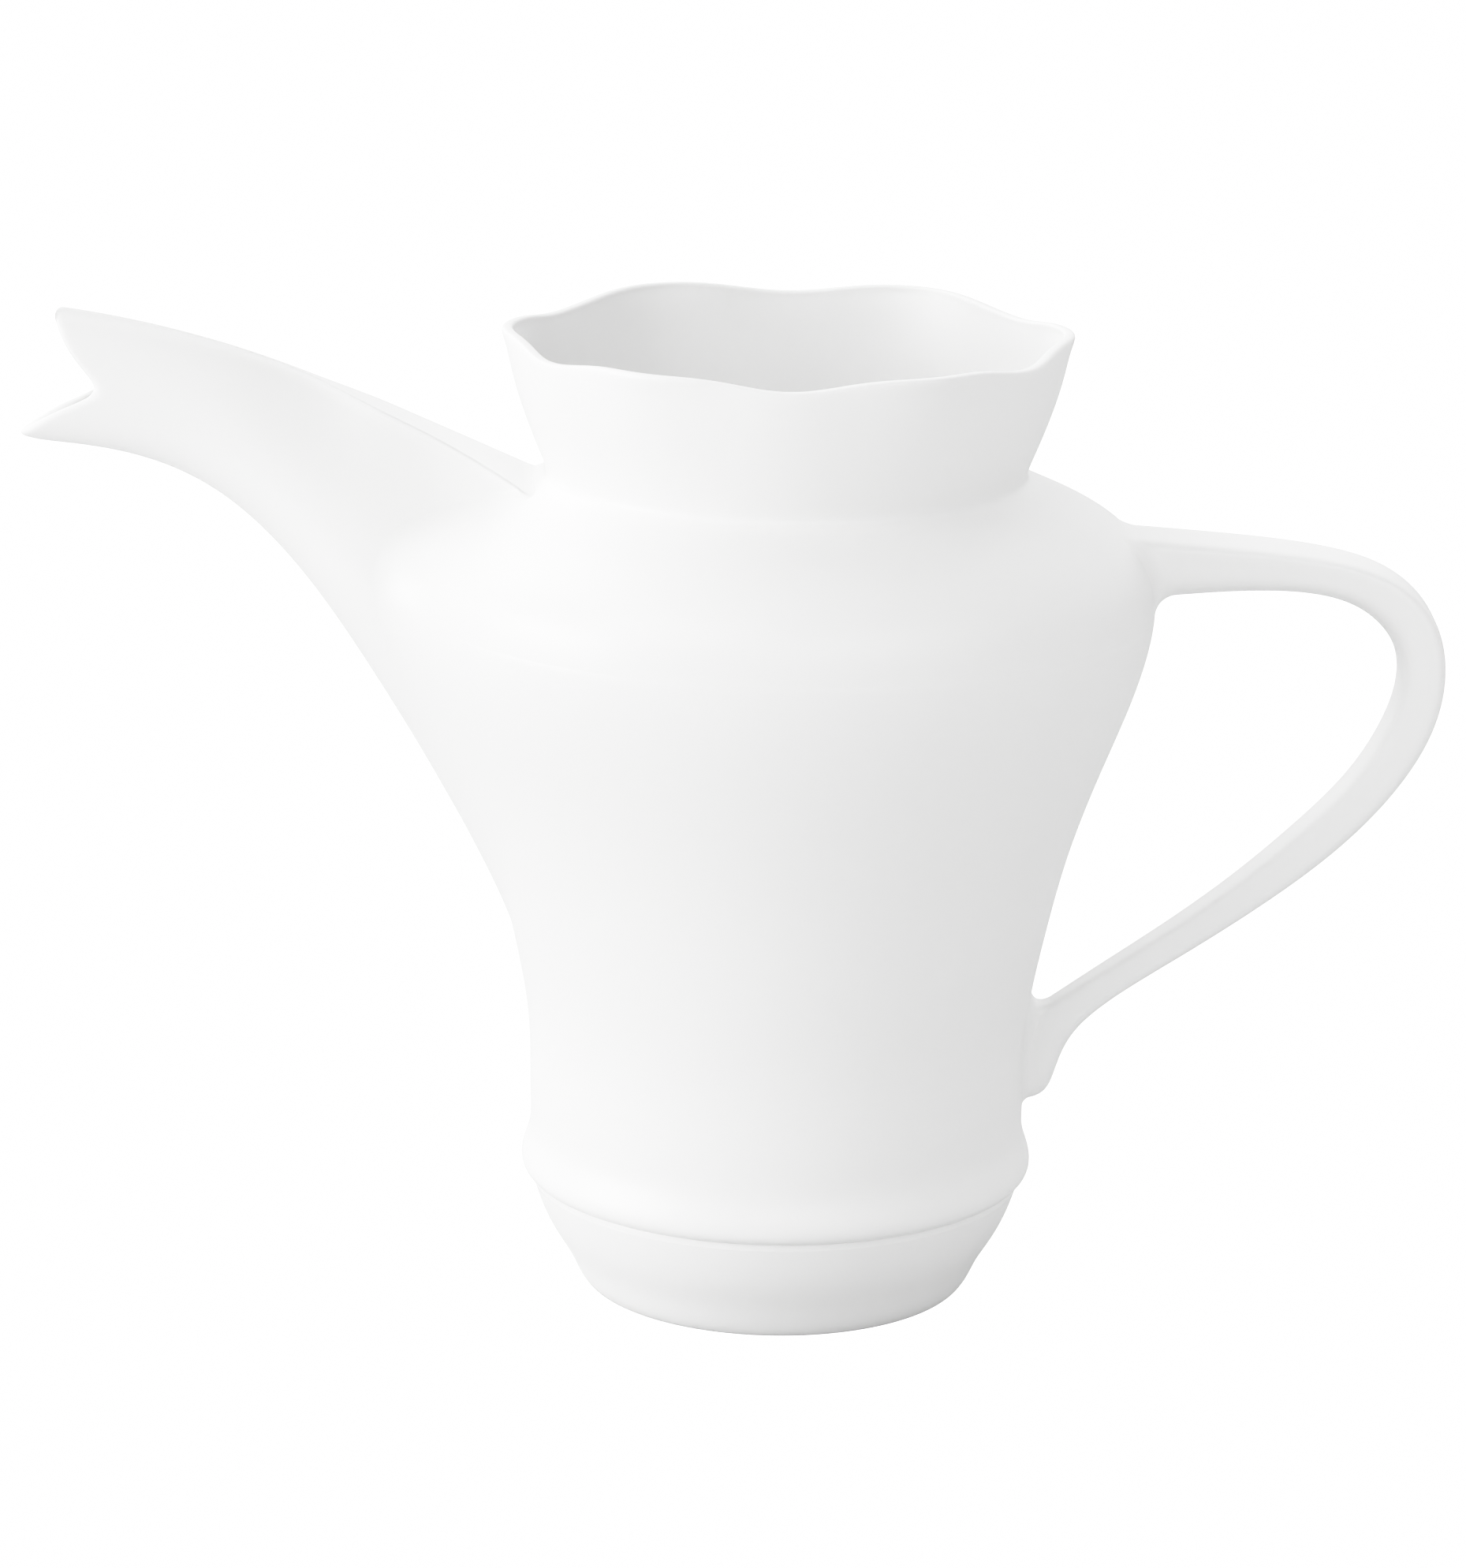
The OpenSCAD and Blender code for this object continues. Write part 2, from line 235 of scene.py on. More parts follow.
def turned_rows(outline, columns):
    """Rows of points made by turning [radius, height] round the Z axis."""
    angle = np.arange(columns) * 2 * math.pi / columns
    r, z = outline[:, 0][:, None], outline[:, 1][:, None]
    return np.stack([r * np.cos(angle), r * np.sin(angle), z + 0 * angle], -1)


# ---- The vessel's skin ----

TURN_COLUMNS = 240
# How far the body swells from waist to belly, and the height over which it does
swell = BELLY_R - WAIST_R
flare_base = BODY_BASE + 16
flare = BELLY_Z - flare_base

body_line = [
    [FOOT_TOP_R - SEAM_DEPTH, BODY_BASE],
    [BEAD_R, BODY_BASE + 1],
    [BEAD_R, BODY_BASE + 4],
    [WAIST_R, BODY_BASE + 7.5],
    [WAIST_R - 0.1, BODY_BASE + 11],
    [WAIST_R + 0.1, flare_base],
    [WAIST_R, flare_base + 0.15 * flare],
    [WAIST_R + 0.15 * swell, flare_base + 0.32 * flare],
    [WAIST_R + 0.31 * swell, flare_base + 0.49 * flare],
    [WAIST_R + 0.56 * swell, flare_base + 0.66 * flare],
    [WAIST_R + 0.84 * swell, flare_base + 0.82 * flare],
    [BELLY_R, BELLY_Z - 4],
    [BELLY_R, BELLY_Z + 4],
    [BELLY_R - 2, BELLY_Z + 10],
    [BELLY_R - 8, BELLY_Z + 15],
    [NECK_R + 5.4, NECK_Z - 3],
    [NECK_R, NECK_Z],
]
neck_line = [
    [NECK_R, NECK_Z],
    [NECK_R + 0.42 * (RIM_R - NECK_R), NECK_Z + 0.3 * (RIM_Z - NECK_Z)],
    [NECK_R + 0.84 * (RIM_R - NECK_R), NECK_Z + 0.67 * (RIM_Z - NECK_Z)],
    [RIM_R, RIM_Z],
]
cavity_line = [
    [0, FLOOR_Z],
    [WAIST_R - 12, FLOOR_Z],
    [WAIST_R - WALL, FLOOR_Z + 1],
    [WAIST_R - WALL, FLOOR_Z + 9],
    [WAIST_R - WALL, flare_base + 0.15 * flare],
    [WAIST_R - WALL + 0.15 * swell, flare_base + 0.33 * flare],
    [WAIST_R - WALL + 0.31 * swell, flare_base + 0.5 * flare],
    [WAIST_R - WALL + 0.56 * swell, flare_base + 0.67 * flare],
    [WAIST_R - WALL + 0.84 * swell, flare_base + 0.83 * flare],
    [BELLY_R - WALL, BELLY_Z - 4],
    [BELLY_R - WALL, BELLY_Z + 4],
    [BELLY_R - WALL - 3.5, BELLY_Z + 9],
    [NECK_R + 5, NECK_Z - 6.5],
    [NECK_R - WALL, NECK_Z],
]
# How far corners are rounded: below the belly, and above it
BEAD_SOFT = 0.45
SHOULDER_SOFT = 1.4
NECK_STEPS = 120
# Height step for slopes, steps towards the skin's nearest point, and halvings of a search
SLOPE_STEP = 0.3
SKIN_STEPS = 6
HALVINGS = 30


def with_opening(outline, opening):
    """Adds a third column: how far a point is up the neck, which is how much the lobes move it."""
    return np.column_stack([outline, np.broadcast_to(opening, len(outline))])


neck_up = np.linspace(0, 1, NECK_STEPS + 1)
neck_outside = with_opening(spline(neck_line, neck_up), neck_up)
neck_inside = neck_outside - np.outer(WALL + (RIM_WALL - WALL) * neck_up, [1, 0, 0])
outer_skin = np.concatenate([with_opening(curve(body_line), 0), neck_outside[1:]])
crisp = soften_line(outer_skin, BEAD_SOFT)
soft = soften_line(outer_skin, SHOULDER_SOFT)
outer_skin = np.where(crisp[:, 1:2] < BELLY_Z, crisp, soft)
inner_skin = soften_line(
    np.concatenate([neck_inside[::-1], with_opening(curve(cavity_line)[::-1], 0)[1:]]),
    SHOULDER_SOFT,
)


def skin_r(z):
    """The outer skin's radius at a height."""
    return np.interp(z, outer_skin[:, 1], outer_skin[:, 0])


def skin_normal(p):
    """The outer skin's unit normal beside p, from its slope SLOPE_STEP up and down."""
    z = p[..., 2]
    slope = (skin_r(z + SLOPE_STEP) - skin_r(z - SLOPE_STEP)) / (2 * SLOPE_STEP)
    r = np.hypot(p[..., 0], p[..., 1])
    return unit(np.stack([p[..., 0], p[..., 1], -slope * r], -1))


def on_skin(p):
    """The skin's nearest points to p, found in a few steps along the normal."""
    for _ in range(SKIN_STEPS):
        n = skin_normal(p)
        gap = np.hypot(p[..., 0], p[..., 1]) - skin_r(p[..., 2])
        p = p - n * (gap * np.hypot(n[..., 0], n[..., 1]))[..., None]
    scale = skin_r(p[..., 2]) / np.hypot(p[..., 0], p[..., 1])
    return np.stack([p[..., 0] * scale, p[..., 1] * scale, p[..., 2]], -1)


def outside_skin(p):
    return np.hypot(p[..., 0], p[..., 1]) > skin_r(p[..., 2])


def meet(line, outer, inner, outside=outside_skin):
    """The places between outer and inner where each line goes in."""
    outer, inner = np.broadcast_arrays(np.asarray(outer, float), np.asarray(inner, float))
    for _ in range(HALVINGS):
        middle = (outer + inner) / 2
        is_out = outside(line(middle))
        outer, inner = np.where(is_out, middle, outer), np.where(is_out, inner, middle)
    return (outer + inner) / 2


def move_on(line, start, distance, far):
    """The places between start and far where each line is that distance from its start."""
    origin = line(start)
    distance = np.broadcast_to(distance, start.shape)
    return meet(line, start, far, lambda p: np.linalg.norm(p - origin, axis=1) < distance)


# ---- Body ----

BODY_ROWS = 392
# Power of the rim's round: below 1 it makes the edge squarer
RIM_SQUARE = 0.6
RIM_STEPS = 40
SHARP_ANGLE = 50
# Places along X where the slot cutter has a section, from outside the wall to the inside
SLOT_STATIONS = (-75, -60, -45, -30)
SLOT_STEPS = 24


def lobe(angle, second):
    """How far the rim is moved round the turn, with a share of the second harmonic."""
    return np.cos(LOBES * angle) + second * np.cos(2 * LOBES * angle)


def pouring_slot():
    """A stadium of a cutter that goes through the wall behind the spout."""
    half = SLOT_W / 2
    turn = np.linspace(0, math.pi, SLOT_STEPS + 1)
    top = np.stack([half * np.cos(turn), SLOT_HIGH - half + half * np.sin(turn)], -1)
    bottom = np.stack([-half * np.cos(turn), SLOT_LOW + half - half * np.sin(turn)], -1)
    outline = np.concatenate([top, bottom])
    rows = np.array(
        [np.column_stack([np.full(len(outline), x), outline]) for x in SLOT_STATIONS]
    )
    return closed_piece("slot_cutter", rows, start=rows[0].mean(0), end=rows[-1].mean(0))


def cut(piece, cutter):
    """Takes the cutter out of the piece."""
    modifier = piece.modifiers.new("cut", "BOOLEAN")
    modifier.operation = "DIFFERENCE"
    modifier.solver = "EXACT"
    modifier.object = cutter
    depsgraph = bpy.context.evaluated_depsgraph_get()
    mesh = bpy.data.meshes.new_from_object(piece.evaluated_get(depsgraph))
    piece.modifiers.clear()
    piece.data = mesh
    bpy.data.objects.remove(cutter)


def build_body():
    radius = RIM_WALL / 2
    turn = np.linspace(0, math.pi, RIM_STEPS + 1)[1:-1]
    across, up = signed_power(np.cos(turn), RIM_SQUARE), signed_power(np.sin(turn), RIM_SQUARE)
    rim = np.stack([RIM_R - radius + radius * across, RIM_Z + radius * up], -1)
    base = np.array([[0, BODY_BASE, 0], [FOOT_TOP_R - SEAM_DEPTH, BODY_BASE, 0]])
    outline = np.concatenate([base, outer_skin[1:], with_opening(rim, 1), inner_skin])
    outline = spread(outline, BODY_ROWS)
    rows = turned_rows(outline, TURN_COLUMNS)
    angle = np.arange(TURN_COLUMNS) * 2 * math.pi / TURN_COLUMNS
    open_out = outline[:, 2][:, None] ** 2
    rows[..., 0] += open_out * LOBE_OUT * lobe(angle, LOBE_OUT_SECOND) * np.cos(angle)
    rows[..., 1] += open_out * LOBE_OUT * lobe(angle, LOBE_OUT_SECOND) * np.sin(angle)
    rows[..., 2] += open_out * LOBE_UP * lobe(angle, LOBE_UP_SECOND)
    piece = closed_piece("pot_body", rows[1:-1], start=rows[0].mean(0), end=rows[-1].mean(0))
    cut(piece, pouring_slot())
    piece.data.set_sharp_from_angle(angle=math.radians(SHARP_ANGLE))
    return piece


# ---- Foot ----

foot_line = [
    [FOOT_R - 1, 0],
    [FOOT_R, 0],
    [FOOT_R + 1.6, 2],
    [FOOT_R + 3.2, 6],
    [FOOT_TOP_R - 3.6, FOOT_H - 9],
    [FOOT_TOP_R - 1.4, FOOT_H - 4.5],
    [FOOT_TOP_R, FOOT_H],
]
FOOT_SOFT = 0.15
FOOT_EVEN_STEPS = 1200
FOOT_ROWS = 160
SEAM_STEPS = 16


def build_foot():
    """The foot ring: the outline outside, and straight lines back down its inside."""
    inside = [
        [FOOT_TOP_R - 7, FOOT_H],
        [FOOT_TOP_R - 8, FOOT_H - 4],
        [FOOT_R - STAND_W + 1.5, 3],
        [FOOT_R - STAND_W, 0],
    ]
    outline = np.concatenate([curve(foot_line), inside])
    closed = np.concatenate([outline, outline[:1]])
    length = length_along(closed, 2)
    even = np.linspace(0, length[-1], FOOT_EVEN_STEPS, endpoint=False)
    outline = at_lengths(closed, length, even)
    outline = soften_ring(outline, FOOT_SOFT)
    outline[:, 1] = np.maximum(outline[:, 1], 0)
    closed = np.concatenate([outline, outline[:1]])
    rows = turned_rows(spread(closed, FOOT_ROWS + 1)[:-1], TURN_COLUMNS)
    return closed_piece("pot_foot", rows, True)


def build_foot_seam():
    """Slip in the incised line, flush with the foot outside, with a cove under the body inside."""
    s = np.linspace(0, 1, SEAM_STEPS + 1)
    face = np.array([
        [FOOT_TOP_R - 0.45, FOOT_H - 1.2],
        [FOOT_TOP_R + 0.25, FOOT_H + 0.2],
        [FOOT_TOP_R - 0.3, BODY_BASE + 0.6],
    ])
    cove = np.array([
        [FOOT_TOP_R - 9.6, BODY_BASE + 0.05],
        [FOOT_TOP_R - 7.6, BODY_BASE - 0.1],
        [FOOT_TOP_R - 7.4, FOOT_H - 1.6],
    ])
    inside = np.array([[FOOT_TOP_R - 6.6, FOOT_H - 0.4]])
    outline = np.concatenate([bezier(face, s), bezier(cove, s), inside])
    return closed_piece("foot_seam", turned_rows(outline, TURN_COLUMNS), True)


# ---- Fillets ----

FILLET_ROWS = 28
# How far the curve's two control points go towards the corner
FILLET_PULL = 0.6
# How deep a fillet's two edges and its underside lie in what they join
BURIED = 0.02
UNDER = 0.4


def ring_tangent(ring):
    """Steps along a closed ring, one at each point."""
    return np.roll(ring, -1, 0) - np.roll(ring, 1, 0)


def fillet(name, root, flank, along, reach, foot_soft):
    """A fillet round the loop root, where a casting meets the skin.

    flank is the loop on the casting where the fillet ends, and along its unit directions
    towards root. The foot lies on the skin, reach away from root.
    """
    normal = skin_normal(root)
    centre = root.mean(0)
    away = unit(np.cross(normal, unit(ring_tangent(root))))
    if ((root - centre) * away).sum() < 0:
        away = -away
    foot = on_skin(soften_ring(on_skin(root + away * reach[:, None]), foot_soft))
    foot_normal = skin_normal(foot)
    flank_normal = unit(np.cross(along, unit(ring_tangent(flank))))
    if (flank_normal * away).sum() < 0:
        flank_normal = -flank_normal
    to_root = root - foot
    inward = unit(to_root - foot_normal * (to_root * foot_normal).sum(1)[:, None])
    foot_span = np.linalg.norm(to_root, axis=1)[:, None] * FILLET_PULL
    flank_span = np.linalg.norm(root - flank, axis=1)[:, None] * FILLET_PULL
    a = foot - foot_normal * BURIED
    d = flank - flank_normal * BURIED
    b = a + inward * foot_span
    c = d + along * flank_span
    s = np.linspace(0, 1, FILLET_ROWS)[:, None]
    top = bezier((a, b, c, d), s)
    slope = bezier((b - a, c - b, d - c), s)
    across = np.roll(top, -1, 1) - np.roll(top, 1, 1)
    shade = unit(np.cross(slope, across))
    if (shade[0] * foot_normal).sum() < 0:
        shade = -shade
    under = np.array([
        flank - flank_normal * UNDER,
        root - normal * UNDER - away * UNDER,
        foot - foot_normal * UNDER,
    ])
    piece = closed_piece(name, np.concatenate([top, under]), True)
    normals = np.zeros((len(piece.data.vertices), 3))
    normals[: shade.size // 3] = shade.reshape(-1, 3)
    normals[shade.size // 3 :] = -np.concatenate([flank_normal, normal, foot_normal])
    piece.data.normals_split_custom_set_from_vertices(normals.tolist())
    return piece


# ---- Spout ----

# The spout is ruled between its top crease and its keel, both in the plane y = 0.
# u runs from the mouth to inside the body, and t from the crease down to the keel.
crease_line = [
    [-124.5, 171], [-119, 170.3], [-110, 168.7], [-101, 166.6], [-92.5, 164.2], [-84.5, 161.5],
    [-77, 158.3], [-69.5, 155], [-62, 151.6], [-54.5, 148], [-46.5, 143.8], [-37, 138.5],
]
keel_line = [
    [-131, 149], [-128, 147.5], [-117, 146.8], [-105, 144], [-94, 138], [-84, 128],
    [-76, 117], [-68.5, 105], [-61, 92.5], [-53.5, 78.5], [-46, 65.5], [-38, 51.5],
]
lip = np.array(crease_line[0])
mouth_line = [
    lip,
    lip + [0.3, -3.5],
    lip + [3.7, -9.3],
    lip + [NOTCH_DEEP, -12.8],
    lip + [NOTCH_DEEP - 0.2, -15],
    lip + [0.3, -17.6],
    keel_line[0],
]
top_half = [0.6, 0.7, 0.8, 0.8, 0.8, 0.6, 2, 5.2, 5.6, 7.4, 10.4, 16]
flank_half = [4, 4.2, 4.8, 6, 8.2, 10.8, 13.5, 15.8, 17.6, 19, 20, 20]

# Powers of a flank's bulge: how softly it starts, and how it closes at the mouth and inwards
FLANK_RISE = 1.3
FLANK_CLOSE = 0.4
FLANK_CLOSE_MORE = 0.75
# How fast the flat top's share of the width dies away down the flank
TOP_FALL = 4
# How far the flanks draw in, how far below the crease, and where along the spout that ends
UNDERCUT = 0.5
UNDERCUT_BELOW = 1.1
UNDERCUT_END = 0.92
UNDERCUT_FADE = 0.15
# The channel's top and bottom as places between crease and keel, and how they change with u
CHANNEL_TOP = 0.24
CHANNEL_TOP_RISE = 0.22
CHANNEL_BOTTOM = 0.9
CHANNEL_BOTTOM_FALL = 0.04
# Share of the channel's height that is rounded off at each end, and how wide its top starts
CAP = 0.3
CAP_LEAST = 0.3
LEAST_HALF = 0.6
FLANK_STEPS = 64
TOP_STEPS = 16
SPOUT_RINGS = 200
# A place along the spout between the mouth and the root
SPOUT_MIDDLE = 0.5
LIP_STEPS = 12
LIP_ROUND = 2
LIP_REACH = 2.2
# How far a casting runs on into the body's wall
ROOT_BURIED = 1
CREASE_SOFT = 0.35
KEEL_SOFT = 1.6
# Part of the spout behind the mouth in which the keel's rounding comes in
KEEL_FADE = 0.2


def bulge(t, a, b):
    """A bulge of height 1 that starts softly at t = 0 and closes at t = 1."""
    m = a / (a + b)
    return (t / m) ** a * (np.maximum(1 - t, 0) / (1 - m)) ** b


def spout_half(u, t):
    """Half the spout's width: the flat top's share and the flank's."""
    flank = spline(flank_half, u) * bulge(t, FLANK_RISE, FLANK_CLOSE + FLANK_CLOSE_MORE * u)
    return spline(top_half, u) * (1 - t) ** TOP_FALL + flank


def undercut(u, t):
    """How far a flank draws in just under the crease; it fades towards the neck."""
    below = t * np.linalg.norm(spline(keel_line, u) - spline(crease_line, u), axis=-1)
    fade = np.clip((UNDERCUT_END - u) / UNDERCUT_FADE, 0, 1)
    return UNDERCUT * fade * below / UNDERCUT_BELOW * np.exp(1 - below / UNDERCUT_BELOW)


def ruled(u, t):
    """The place in the plane y = 0, as [x, z]."""
    return spline(crease_line, u) * (1 - t)[..., None] + spline(keel_line, u) * t[..., None]


def flat_point(plane, y):
    """Adds y to points of the plane y = 0, given as [x, z]."""
    return np.stack([plane[..., 0], y, plane[..., 1]], -1)


def spout_point(u, t, side):
    return flat_point(ruled(u, t), side * (spout_half(u, t) - undercut(u, t)))


def channel_point(u, s, side):
    """The channel keeps a wall's distance from the flanks and clear of crease and keel."""
    top = CHANNEL_TOP - CHANNEL_TOP_RISE * u
    bottom = CHANNEL_BOTTOM + CHANNEL_BOTTOM_FALL * u
    t = top + (bottom - top) * s
    upper = CAP_LEAST + (1 - CAP_LEAST) * np.sqrt(np.maximum(1 - (1 - s / CAP) ** 2, 0))
    lower = np.sqrt(np.maximum(1 - ((s - (1 - CAP)) / CAP) ** 2, 0))
    cap = np.where(s < CAP, upper, np.where(s > 1 - CAP, lower, 1))
    half = np.maximum(spout_half(u, t) - SPOUT_WALL, LEAST_HALF) * cap
    return flat_point(ruled(u, t), side * half)


# Places round a section: down one flank, up the other and across the flat top
step = np.linspace(0, 1, FLANK_STEPS + 1)
flank_t = (1 - np.cos(math.pi * step)) / 4 + step / 2
across_top = np.linspace(1, -1, TOP_STEPS + 1)[1:-1]
section_t = np.concatenate([flank_t, flank_t[-2::-1], 0 * across_top])
section_side = np.concatenate([-np.ones(FLANK_STEPS + 1), np.ones(FLANK_STEPS), across_top])


def beyond_mouth(p):
    cut_line = curve(mouth_line)[::-1]
    return p[..., 0] < np.interp(p[..., 2], cut_line[:, 1], cut_line[:, 0])


def spout_line(u):
    return spout_point(u, section_t, section_side)


def channel_line(u):
    return channel_point(u, section_t, section_side)


def soft_spout(u):
    """A ring of the spout with its creases rounded, and its keel more so."""
    ring = spout_line(u)
    keel = (section_t**4 * np.clip(u / KEEL_FADE, 0, 1))[:, None]
    return soften_ring(ring, CREASE_SOFT) * (1 - keel) + soften_ring(ring, KEEL_SOFT) * keel


spout_mouth = meet(spout_line, 0 * section_t, SPOUT_MIDDLE, beyond_mouth)
spout_root = meet(spout_line, SPOUT_MIDDLE + 0 * section_t, 1)


def build_spout():
    """The spout: its outside, a rounded lip, and back along the channel."""
    channel_mouth = meet(channel_line, 0 * section_t, SPOUT_MIDDLE, beyond_mouth)
    channel_root = meet(channel_line, SPOUT_MIDDLE + 0 * section_t, 1)
    gap = np.linalg.norm(spout_line(spout_mouth) - channel_line(channel_mouth), axis=1) / 2
    depth = np.minimum(LIP_REACH * gap, LIP_ROUND)
    outer_start = move_on(spout_line, spout_mouth, depth, SPOUT_MIDDLE)
    inner_start = move_on(channel_line, channel_mouth, depth, SPOUT_MIDDLE)
    outer_end = move_on(spout_line, spout_root, ROOT_BURIED, 1)
    inner_end = move_on(channel_line, channel_root, ROOT_BURIED, 1)
    shares = np.linspace(0, 1, SPOUT_RINGS + 1)
    outer = np.array([soft_spout(outer_start + (outer_end - outer_start) * a) for a in shares])
    inner = np.array([channel_line(inner_start + (inner_end - inner_start) * a) for a in shares])
    edge, inner_edge = outer[0], inner[0]
    out = unit(unit(outer[0] - outer[2]) + unit(inner[0] - inner[2]))
    turn = np.linspace(0, math.pi, LIP_STEPS + 1)[1:-1]
    middle, arm = (edge + inner_edge) / 2, (edge - inner_edge) / 2
    nose = [middle - arm * math.cos(a) + out * depth[:, None] * math.sin(a) for a in turn]
    rows = np.concatenate([outer[::-1], np.array(nose)[::-1], inner])
    return closed_piece("pot_spout", rows, True)


def build_spout_fillet():
    """A fillet that is narrow at the crease, wide beside the flanks and middling at the keel."""
    flank_u = spout_root - 0.02 - 0.14 * section_t
    step_u = 0.003
    root = on_skin(soft_spout(spout_root))
    flank = soft_spout(flank_u)
    along = unit(soft_spout(flank_u + step_u) - soft_spout(flank_u - step_u))
    reach = 1.4 + 11 * np.sin(math.pi * section_t) ** 0.7 + 4 * section_t
    return fillet("spout_fillet", root, flank, along, reach, foot_soft=2)


# ---- Handle ----

outer_line = [
    [52, 135], [66, 134], [80, 133], [93, 131.5], [104, 128.5], [112, 121], [114, 110],
    [111.5, 99], [104.5, 88], [95, 78], [83.5, 69], [70.5, 60], [59.5, 53], [51, 46],
    [48.5, 38.5], [47, 33], [38, 33],
]
inner_line = [
    [54, 122.5], [67, 124], [79, 125], [89, 125], [98, 123], [104.5, 117], [106, 109.5],
    [103.5, 101], [98, 91.5], [90, 83.3], [79, 73.2], [67, 64.2], [56, 56.8], [47, 50.5],
    [41, 46.5], [38, 44], [34, 42],
]
half_line = [
    HANDLE_HALF + 0.8, HANDLE_HALF + 0.4, HANDLE_HALF, HANDLE_HALF - 0.2, HANDLE_HALF - 0.4,
    (HANDLE_HALF + HANDLE_LOW_HALF) / 2, HANDLE_LOW_HALF + 0.3, HANDLE_LOW_HALF,
    HANDLE_LOW_HALF + 0.4,
]
# How square the section is along the handle: small powers give crisp corners
outer_power = [0.28, 0.28, 0.5, 0.7, 0.75, 0.75]
inner_power = [0.75, 0.75, 0.55, 0.32, 0.28, 0.5]
# The inner edge's width as a share of the outer edge's
inner_share = [0.9, 0.9, 0.95, 0.85, 0.7, 0.7]

QUARTER_STEPS = 28
HANDLE_RINGS = 260
HANDLE_SOFT = 0.12
# Places outside the body on the upper and the lower arm
HANDLE_TOP_START = 0.3
HANDLE_TAIL_START = 0.7

# Angles round a section, closer together where the corners are
q = np.linspace(0, 1, QUARTER_STEPS + 1)[:-1]
quarter = q**3 * (10 - 15 * q + 6 * q * q) * math.pi / 2
handle_angles = np.concatenate([quarter + i * math.pi / 2 for i in range(4)])


def handle_line(v):
    """The handle's section at each angle; v runs from the shoulder round to the tail."""
    cosine, sine = np.cos(handle_angles), np.sin(handle_angles)
    power = np.where(cosine > 0, spline(outer_power, v), spline(inner_power, v))
    depth, across = signed_power(cosine, power), signed_power(sine, power)
    outer, inner = spline(outer_line, v), spline(inner_line, v)
    plane = (outer + inner) / 2 + (outer - inner) / 2 * depth[..., None]
    share = 1 + (spline(inner_share, v) - 1) * (1 - depth) / 2
    return flat_point(plane, across * spline(half_line, v) * share)


def soft_handle(v):
    return soften_ring(handle_line(v), HANDLE_SOFT)


handle_top = meet(handle_line, HANDLE_TOP_START + 0 * handle_angles, 0)
handle_tail = meet(handle_line, HANDLE_TAIL_START + 0 * handle_angles, 1)


def build_handle():
    start = move_on(handle_line, handle_top, ROOT_BURIED, 0)
    end = move_on(handle_line, handle_tail, ROOT_BURIED, 1)
    shares = np.linspace(0, 1, HANDLE_RINGS + 1)
    rows = np.array([soft_handle(start + (end - start) * a) for a in shares])
    return closed_piece("pot_handle", rows, start=rows[0].mean(0), end=rows[-1].mean(0))


def build_handle_fillet(name, root_v, flank_v, reach, foot_soft):
    step_v = np.sign(root_v - flank_v).mean() * 0.002
    root = on_skin(soft_handle(root_v))
    flank = soft_handle(flank_v)
    along = unit(soft_handle(flank_v + step_v) - soft_handle(flank_v - step_v))
    return fillet(name, root, flank, along, reach, foot_soft)


def build_handle_fillets():
    """The top fillet is widest at the sides, the lower one on the handle's inner side."""
    inner_side = (1 - np.cos(handle_angles)) / 2
    beside = np.abs(np.sin(handle_angles))
    well_inside = inner_side**2
    top_reach = 1.4 + 1.4 * inner_side + 1.6 * beside
    top_flank = handle_top + 0.007 + 0.007 * inner_side + 0.008 * beside
    tail_reach = 1 + 5.2 * well_inside + beside
    tail_flank = handle_tail - 0.008 - 0.03 * well_inside - 0.01 * beside
    top = build_handle_fillet(
        "handle_top_fillet", handle_top, top_flank, top_reach, foot_soft=0.8
    )
    bottom = build_handle_fillet(
        "handle_bottom_fillet", handle_tail, tail_flank, tail_reach, foot_soft=0.6
    )
    return top, bottom


# ---- Materials ----


def new_material(name):
    """A material, its node tree and its shader."""
    material = bpy.data.materials.new(name)
    material.use_nodes = True
    tree = material.node_tree
    return material, tree, tree.nodes["Principled BSDF"]


def noise(tree, scale, detail):
    """Noise in the object's own metres, so that it runs on from piece to piece."""
    place = tree.nodes.new("ShaderNodeTexCoord")
    texture = tree.nodes.new("ShaderNodeTexNoise")
    texture.inputs["Scale"].default_value = scale
    texture.inputs["Detail"].default_value = detail
    tree.links.new(place.outputs["Object"], texture.inputs["Vector"])
    return texture.outputs["Fac"]


def ramp(tree, source, stops):
    """Maps a value to colours or greys, given as (place, value) pairs."""
    node = tree.nodes.new("ShaderNodeValToRGB")
    elements = node.color_ramp.elements
    while len(elements) < len(stops):
        elements.new(0.5)
    for element, (place, value) in zip(elements, stops):
        element.position = place
        element.color = (*value, 1) if isinstance(value, tuple) else (value, value, value, 1)
    tree.links.new(source, node.inputs["Fac"])
    return node.outputs["Color"]


def bump(tree, shader, height, distance, strength):
    """Relief from a height between 0 and 1; distance is in metres."""
    node = tree.nodes.new("ShaderNodeBump")
    node.inputs["Distance"].default_value = distance
    node.inputs["Strength"].default_value = strength
    tree.links.new(height, node.inputs["Height"])
    tree.links.new(node.outputs["Normal"], shader.inputs["Normal"])


GLAZE = (0.892, 0.892, 0.889)
GLAZE_THIN = (0.886, 0.886, 0.884)
# A darker, bluish tint for hollows: pooled glaze, and also painted shade in the creases
POOLED_GLAZE_AND_SHADE = (0.84, 0.848, 0.852)
# How rough the glaze is where it is smoothest and where it is dullest
GLAZE_SMOOTH = 0.36
GLAZE_DULL = 0.4
# Sizes of the patterns, as noise scales in the object's metres
CLOUD_SCALE = 22
WAVE_SCALE = 60
GRAIN_SCALE = 2600
BISCUIT_LIGHT = (0.78, 0.77, 0.745)
BISCUIT_DARK = (0.70, 0.69, 0.665)
BISCUIT_ROUGH = 0.75
# Height in mm up to which the foot is bare
BARE_UP_TO = 0.12


